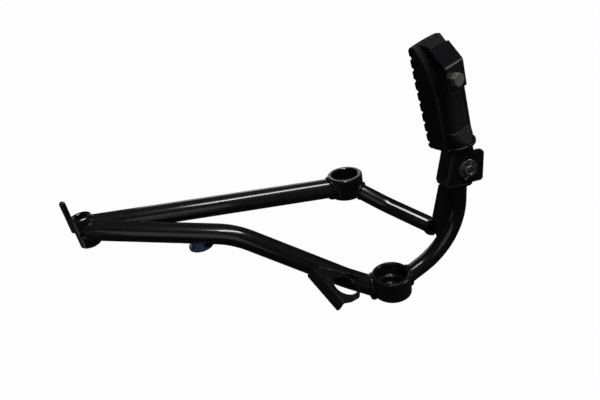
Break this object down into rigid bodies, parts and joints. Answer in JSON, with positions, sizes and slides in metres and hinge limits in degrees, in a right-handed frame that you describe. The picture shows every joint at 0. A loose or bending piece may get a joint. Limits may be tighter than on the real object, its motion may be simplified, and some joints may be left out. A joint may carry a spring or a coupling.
{
  "type": "motorcycle pillion footrest bracket",
  "caption": "Welded tube bracket for a motorcycle with a hinged rubber-covered pillion footrest, mounting bosses, a collar and gusset plates",
  "frame": {"origin": "middle of the lower mounting boss, on its bore's axis", "axes": "+Z along the lower boss's bore, towards the footrest's side; the end collar lies towards -X"},
  "size_m": [0.4279, 0.1378, 0.2594],
  "materials": {
    "painted_steel": "semi-gloss black powder coat",
    "rubber": "matte moulded rubber",
    "bare_steel": "dull zinc-plated steel",
    "bolt_zinc": "satin zinc-plated steel",
    "blue_zinc": "blue-passivated zinc",
    "spring_steel": "plain steel"
  },
  "bodies": {
    "frame": {"apex_collar": "painted_steel", "hook_rod": "painted_steel", "upper_tube": "painted_steel", "lower_tube": "painted_steel", "upper_boss": "painted_steel", "lower_boss": "painted_steel", "strut_tube": "painted_steel", "arm_tube": "painted_steel", "arm_gusset": "painted_steel", "gusset_plate": "painted_steel", "weld_nut": "blue_zinc", "clevis_bracket": "painted_steel", "pivot_pin": "bare_steel", "pin_washer": "bare_steel", "split_pin": "bare_steel"},
    "footrest": {"detent_ball": "spring_steel", "detent_spring": "spring_steel", "peg_tongue": "painted_steel", "peg_flange": "painted_steel", "peg_bar": "painted_steel", "peg_rubber": "rubber", "end_plate": "painted_steel", "end_bolt": "bolt_zinc"}
  },
  "joints": [
    {"name": "footrest_fold", "type": "hinge", "parent": "frame", "child": "footrest", "pos_m": [0.08005, 0.02884, 0.1162], "axis": [-0.2419, 0.9703, 0], "range_deg": [0, 90]}
  ]
}
